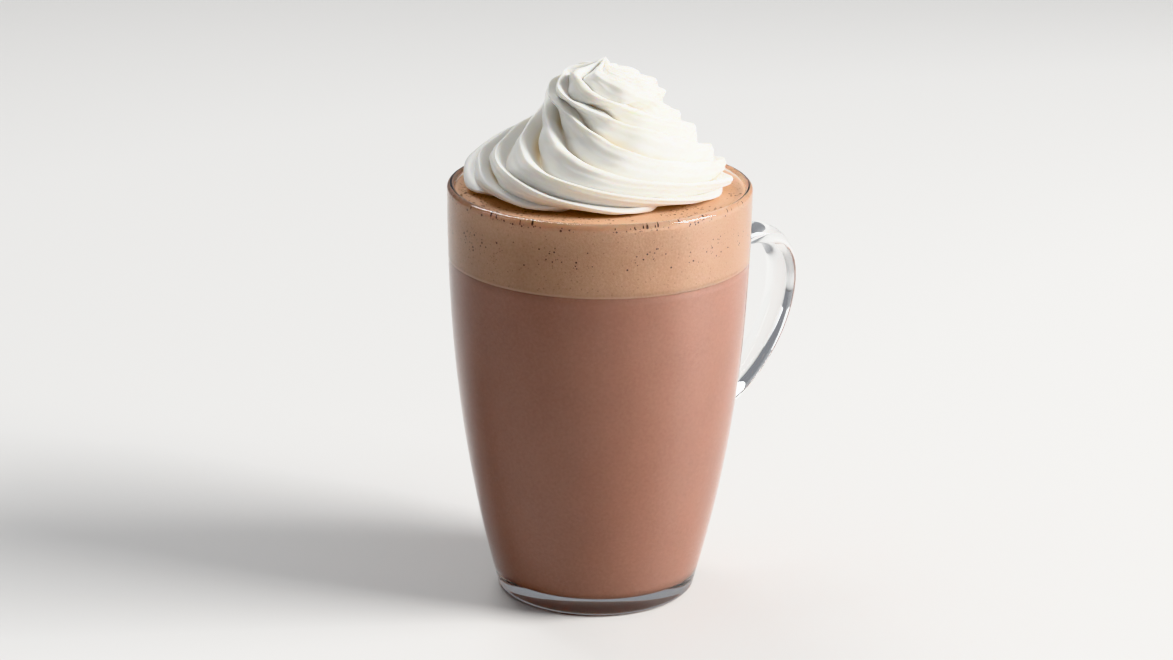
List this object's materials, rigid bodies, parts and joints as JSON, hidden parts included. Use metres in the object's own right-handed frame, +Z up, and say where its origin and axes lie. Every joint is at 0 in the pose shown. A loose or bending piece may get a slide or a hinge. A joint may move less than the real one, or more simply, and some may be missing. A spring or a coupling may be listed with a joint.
{
  "type": "hot chocolate in a glass mug",
  "caption": "Tall clear glass mug with an ear handle, filled with hot chocolate under a layer of milk foam and a piped swirl of whipped cream.",
  "frame": {"origin": "centre of the mug's flat underside", "axes": "+Z up along the mug's axis, +X towards the handle"},
  "size_m": [0.1229, 0.09, 0.1635],
  "materials": {
    "clear_glass": "clear, polished",
    "hot_chocolate": "opaque liquid, smooth",
    "milk_foam": "fine matte foam with pinholes",
    "whipped_cream": "soft satin, slightly translucent"
  },
  "bodies": {
    "root": {"mug": "clear_glass", "drink": "hot_chocolate", "foam": "milk_foam", "cream": "whipped_cream"}
  },
  "joints": []
}
